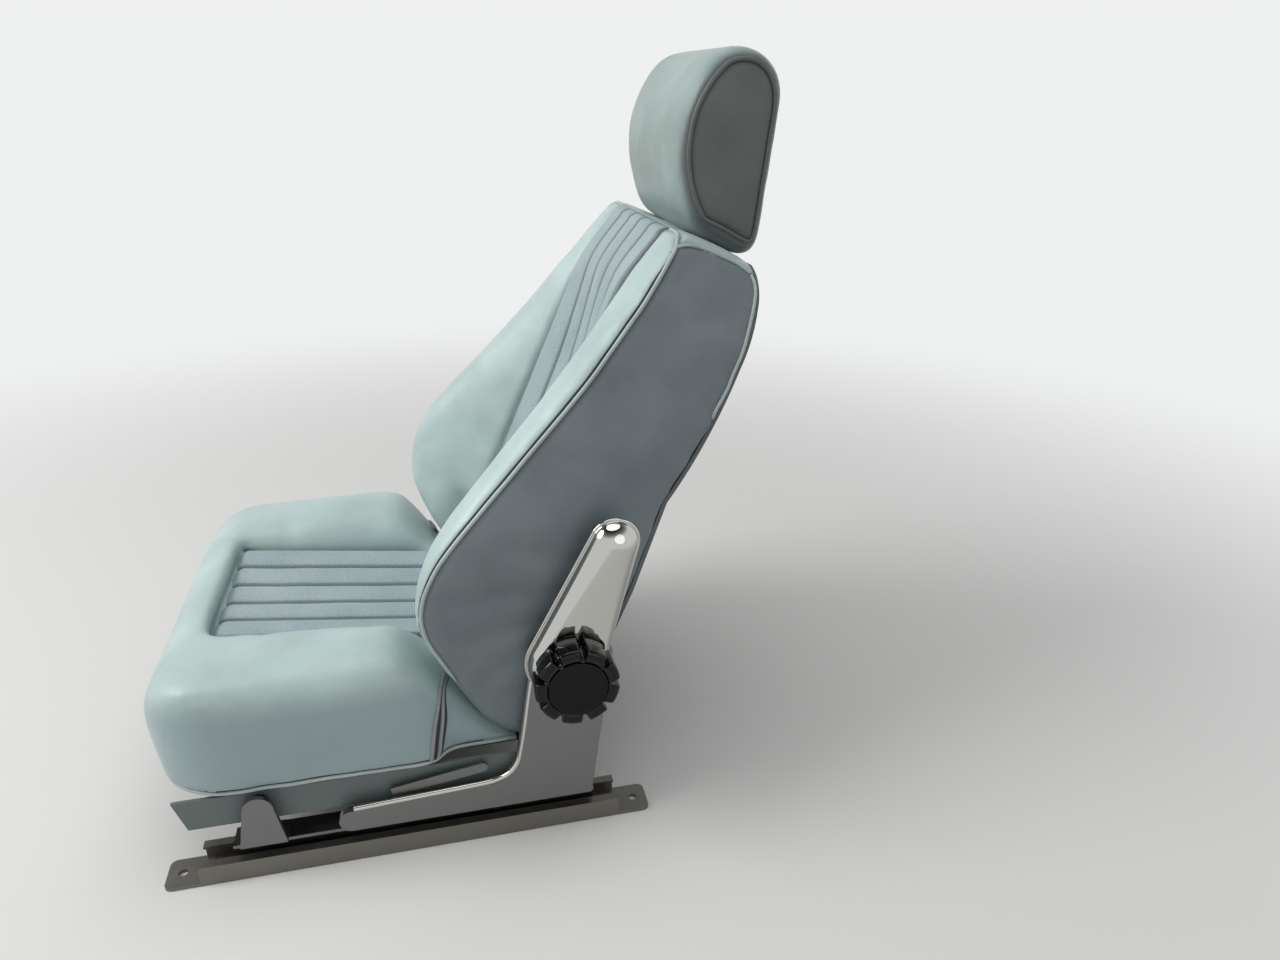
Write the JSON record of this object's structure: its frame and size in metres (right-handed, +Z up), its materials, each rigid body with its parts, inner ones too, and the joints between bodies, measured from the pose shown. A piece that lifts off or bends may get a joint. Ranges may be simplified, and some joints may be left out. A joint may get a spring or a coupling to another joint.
{
  "type": "reclining car seat",
  "caption": "Reclining bucket seat on slide rails, with a headrest, pleated panels between raised side rolls, domed hinge covers and a star knob.",
  "frame": {"origin": "on the floor, in the middle of the floor bolts", "axes": "+Z up; the seat faces -Y; +X is the inner side, with the recliner knob"},
  "size_m": [0.635, 0.7618, 0.8874],
  "materials": {
    "leather": "light grey-green leather, fine grain, satin",
    "pleated_leather": "perforated leather in sewn pleats, satin",
    "back_leather": "darker grained cover of the back panel",
    "chrome": "polished",
    "satin_steel": "satin zinc plate",
    "rail_steel": "dull plated steel",
    "spring_steel": "dark drawn wire",
    "black_paint": "black semi-gloss paint",
    "grey_plastic": "grained dark grey",
    "black_plastic": "black, satin",
    "black_gloss": "black, glossy moulded"
  },
  "bodies": {
    "rails": {"lower_rail_inner": "rail_steel", "lower_rail_outer": "rail_steel"},
    "base": {"upper_rail_inner": "rail_steel", "upper_rail_outer": "rail_steel", "hinge_bracket_inner": "satin_steel", "hinge_bracket_outer": "satin_steel", "front_riser_inner": "satin_steel", "front_riser_outer": "satin_steel", "front_tube": "black_paint", "rear_tube": "black_paint", "side_tube_inner": "black_paint", "side_tube_outer": "black_paint", "seat_springs": "spring_steel", "side_valance_inner": "grey_plastic", "side_valance_outer": "grey_plastic", "slide_lever": "satin_steel", "seat_cushion": "leather", "cushion_insert": "pleated_leather", "hinge_pin_inner": "rail_steel", "hinge_pin_outer": "rail_steel", "hinge_pin_cap": "black_plastic"},
    "backrest": {"backrest_pad": "leather", "backrest_insert": "pleated_leather", "back_panel": "back_leather", "hinge_arm_inner": "black_paint", "hinge_arm_outer": "black_paint", "hinge_cover_inner": "chrome", "hinge_cover_outer": "chrome", "headrest_sleeve_inner": "black_plastic", "headrest_sleeve_outer": "black_plastic"},
    "headrest": {"headrest_pad": "leather", "headrest_post_inner": "chrome", "headrest_post_outer": "chrome"},
    "knob": {"recline_knob": "black_gloss", "knob_cap": "black_plastic"}
  },
  "joints": [
    {"name": "seat_slide", "type": "slide", "parent": "rails", "child": "base", "axis": [0, -1, 0], "range_m": [-0.1, 0.1]},
    {"name": "backrest_recline", "type": "hinge", "parent": "base", "child": "backrest", "pos_m": [0, 0.19, 0.24], "axis": [-1, 0, 0], "range_deg": [-10, 38]},
    {"name": "headrest_height", "type": "slide", "parent": "backrest", "child": "headrest", "axis": [0, 0.4067, 0.9135], "range_m": [0, 0.06]},
    {"name": "knob_turn", "type": "hinge", "parent": "base", "child": "knob", "pos_m": [0.31, 0.19, 0.24], "axis": [-1, 0, 0], "range_deg": [-300, 1140]}
  ],
  "couplings": [
    {"joint": "knob_turn", "follows": "backrest_recline", "ratio": 30}
  ]
}
